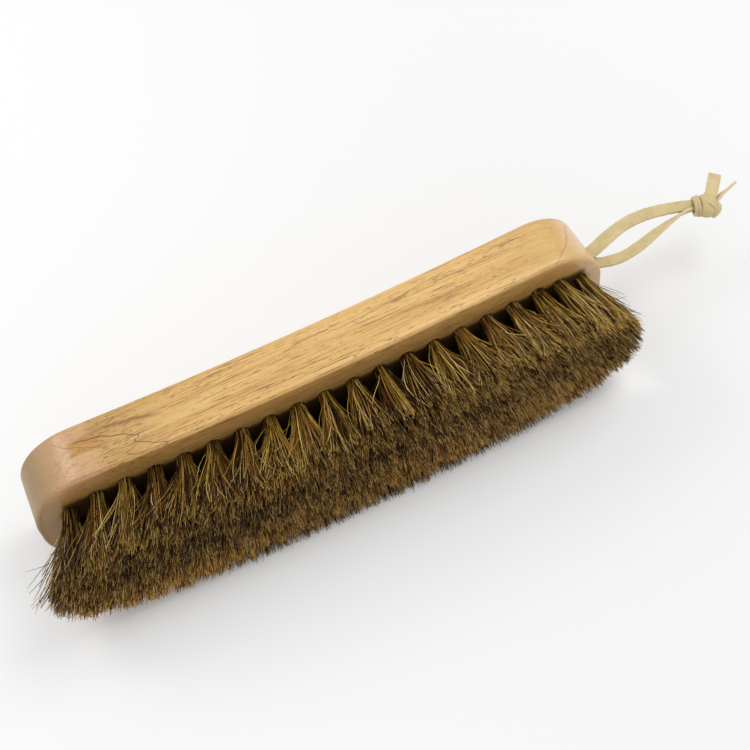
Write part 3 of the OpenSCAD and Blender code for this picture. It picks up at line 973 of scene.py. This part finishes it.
def sweep_strip(name, path, material, seed, rough=STRIP_ROUGH, crown=0.0, stretch=slice(None)):
    """Leather strip along rows of x, y, z, width, thickness and roll about the way it runs.

    With no roll the strip's broad face looks up. stretch picks some of the rows.
    """
    centre = path[:, :3]
    way = normalised(np.gradient(centre, axis=0))
    level = normalised(np.cross((0, 0, 1), way))
    up = np.cross(way, level)
    roll = np.radians(path[:, 5])[:, None]
    across_way = level * np.cos(roll) + up * np.sin(roll)
    through_way = up * np.cos(roll) - level * np.sin(roll)
    jitter = np.random.default_rng(seed).normal(0, rough, (len(path), 2))
    sections = []
    for i in range(len(path))[stretch]:
        across, through, edge = strip_section(path[i, 3], path[i, 4], crown)
        across = across + np.where(across > 0, jitter[i, 0], jitter[i, 1])
        ring = centre[i] + across[:, None] * across_way[i] + through[:, None] * through_way[i]
        sections.append((ring, edge))
    return strip_object(name, sections, material)


def bend(obj, a, b, stretch):
    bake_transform(obj)


def build_strand(side, rows, material):
    """One strand of the loop: a neck at the bore, and the free stretch up to the knot."""
    path = smooth_path(rows, PATH_STEPS)
    seam = int(np.argmin(np.abs(path[:, 0] - NECK_END_X)))
    neck_rows, strand_rows = slice(0, seam + 1), slice(seam, None)
    neck = sweep_strip(f"thong_neck_{side}", path, material, STRAND_SEED, stretch=neck_rows)
    strand = sweep_strip(f"thong_strand_{side}", path, material, STRAND_SEED, stretch=strand_rows)
    bend(neck, "block", "thong_root", NECK_BEND)
    bend(strand, "thong_root", "thong_loop", STRAND_BEND)
    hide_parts(f"thong_{side}_strand")
    return neck


def wound_band(name, centre, radii, width, thickness, material):
    """A closed turn of the strip round the loop where it enters the knot, broad face outward."""
    normal = normalised(np.array(KNOT_AXIS))
    a = np.array(KNOT_ACROSS)
    a = normalised(a - normal * (a @ normal))
    b = np.cross(normal, a)
    angles = np.arange(BAND_STEPS) * 2 * math.pi / BAND_STEPS
    cos, sin = np.cos(angles), np.sin(angles)
    spots = np.array(centre) + np.outer(cos * radii[0], a) + np.outer(sin * radii[1], b)
    outward = normalised(np.outer(cos / radii[0], a) + np.outer(sin / radii[1], b))
    across, through, edge = strip_section(width, thickness, BAND_CROWN)
    sections = [
        (spot + across[:, None] * normal + through[:, None] * out, edge)
        for spot, out in zip(spots, outward)
    ]
    return strip_object(name, sections, material, closed=True)


def lump(name, centre, radii, long_way, material):
    """Closed, slightly square egg with its first radius along long_way and its last one upright."""
    around, down = LUMP_AROUND, LUMP_DOWN
    turn = np.arange(around) * 2 * math.pi / around
    fall = (np.arange(down) + 0.5) * math.pi / down
    ring = np.stack([np.cos(turn), np.sin(turn)], 1)
    ring = np.sign(ring) * np.abs(ring) ** LUMP_POWER
    points = [(a * math.sin(f), b * math.sin(f), math.cos(f)) for f in fall for a, b in ring]
    upright = np.array((0.0, 0.0, 1.0))
    long_way = normalised(np.array(long_way))
    ways = np.stack([long_way, np.cross(upright, long_way), upright])
    points = np.array(centre) + (np.array(points) * np.array(radii)) @ ways
    faces = []
    for j in range(0, (down - 1) * around, around):
        for i in range(around):
            k = (i + 1) % around
            faces.append((j + i, j + around + i, j + around + k, j + k))
    faces.append(tuple(range(around)))
    faces.append(tuple((down - 1) * around + i for i in range(around))[::-1])
    return leather_object(name, points, faces, np.zeros(len(points)), LUMP_SHARP_ANGLE, material)


def build_knot(material):
    """Overhand knot: two turns of collar, the round body, a lobe wrapped over its end, two cut tails."""
    pieces = [wound_band(name, *band, material) for name, band in KNOT_BANDS.items()]
    body = lump("knot_body", *KNOT_BODY, KNOT_ACROSS, material)
    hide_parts("thong_knot")
    lobe, fold = (smooth_path(rows, KNOT_STRIP_STEPS) for rows in (LOBE, FOLD))
    pieces += [
        body,
        sweep_strip("knot_lobe", lobe, material, KNOT_SEED, rough=LOBE_ROUGH, crown=LOBE_CROWN),
        sweep_strip("knot_fold", fold, material, KNOT_SEED, rough=FOLD_ROUGH),
    ]
    for side, rows in (("broad", BROAD_TAIL), ("thin", THIN_TAIL)):
        tail = sweep_strip(f"thong_tail_{side}", smooth_path(rows, TAIL_STEPS), material, TAIL_SEED)
        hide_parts(f"thong_{side}_tail")
        pieces.append(tail)
    for piece in pieces:
        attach(piece, "thong_loop")


# ---------------------------------------------------------------- stage


CAMERA_PLACE = (-57.53, -231.76, 411.88)
CAMERA_AIM = (17.23, -3.78, 23.0)
CAMERA_ROLL = -8.96
CAMERA_LENS, CAMERA_SENSOR = 67.2, 36.0
CAMERA_CLIP_M = (0.01, 10.0)
# Soft round lights: place, what they face and diameter in metres, then power in watts
LIGHTS = {
    "key": ((0.55, 0.10, 0.85), (0.0, 0.0, 0.02), 0.6, 4.4),
    "fill": ((-0.10, -0.90, 0.28), (0.0, 0.0, 0.02), 0.5, 0.9),
    "window": ((-0.45, 0.50, 0.62), (-0.08, 0.0, 0.03), 0.4, 1.9),
}
WORLD_LIGHT = 0.8
FLOOR_HALF_M = 3.0
# The floor's glow starts this far from the middle of the brush, along it and across it
GLOW_FROM_X, GLOW_FROM_Y, BRUSH_MID_Y = 95.0, 18.0, -13.0
GLOW_FADE = 14.0
FLOOR_NEAR, FLOOR_FAR = 0.9, 0.5
GLOW_X, GLOW_STRENGTH = (-120.0, 160.0), (0.345, 0.275)


def make_camera():
    data = bpy.data.cameras.new("camera")
    data.lens = CAMERA_LENS
    data.sensor_width = CAMERA_SENSOR
    data.clip_start, data.clip_end = CAMERA_CLIP_M
    camera = add_object("camera", data)
    place, aim = Vector(CAMERA_PLACE) * MM, Vector(CAMERA_AIM) * MM
    facing = (aim - place).to_track_quat("-Z", "Y").to_matrix().to_4x4()
    roll = Matrix.Rotation(math.radians(CAMERA_ROLL), 4, "Z")
    camera.matrix_world = Matrix.Translation(place) @ facing @ roll
    bpy.context.scene.camera = camera


def area_light(name, place, aim, size, power):
    data = bpy.data.lights.new(name, "AREA")
    data.shape = "DISK"
    data.size = size
    data.energy = power
    light = add_object(name, data)
    light.location = place
    light.rotation_euler = (Vector(aim) - Vector(place)).to_track_quat("-Z", "Y").to_euler()


def floor_material():
    """Pale floor. The camera sees it lifted by a soft glow away from the brush, as under a light tent."""
    g = Graph("floor")
    x, y, _, _ = g.place()
    past_x = g.minus(g.math("ABSOLUTE", x), GLOW_FROM_X)
    past_y = g.minus(g.away(y, BRUSH_MID_Y), GLOW_FROM_Y)
    clear = g.range(g.math("MAXIMUM", past_x, past_y), 0.0, GLOW_FADE)
    lift = g.times(clear, g.node("ShaderNodeLightPath").outputs["Is Camera Ray"])
    return g.surface(
        Base_Color=g.grey(g.range(lift, 0.0, 1.0, FLOOR_NEAR, FLOOR_FAR, smooth=False)),
        Roughness=0.9,
        Specular_IOR_Level=0.0,
        Emission_Color=(1, 1, 1, 1),
        Emission_Strength=g.times(lift, g.range(x, *GLOW_X, *GLOW_STRENGTH)),
    )


def make_stage():
    """Floor, light from all round, three soft lights, and plain colours on the screen."""
    half = FLOOR_HALF_M
    corners = [(-half, -half, 0), (half, -half, 0), (half, half, 0), (-half, half, 0)]
    mesh = bpy.data.meshes.new("floor")
    mesh.from_pydata(corners, [], [(0, 1, 2, 3)])
    floor = add_object("floor", mesh)
    paint(floor, floor_material())
    scene = bpy.context.scene
    scene.world = bpy.data.worlds.new("world")
    scene.world.use_nodes = True
    background = scene.world.node_tree.nodes["Background"]
    background.inputs["Color"].default_value = (1, 1, 1, 1)
    background.inputs["Strength"].default_value = WORLD_LIGHT
    for name, light in LIGHTS.items():
        area_light(name, *light)
    scene.view_settings.view_transform = "Standard"
    scene.view_settings.look = "None"


def main():
    wood, hair, leather, steel = wood_material(), hair_material(), leather_material(), steel_material()
    kept_cad = {
        "block": wood,
        "tuft_roots": hair,
        "tuft_anchors": steel,
        "thong_pin": steel,
        "thong_bight": leather,
    }
    for node, material in kept_cad.items():
        paint(frame["nodes"][node], material)
    for k in ROWS:
        build_row(k, hair)
    upper_neck = build_strand("upper", UPPER_STRAND, leather)
    build_strand("lower", LOWER_STRAND, leather)
    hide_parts("thong_root")
    build_knot(leather)
    make_stage()
    make_camera()


main()
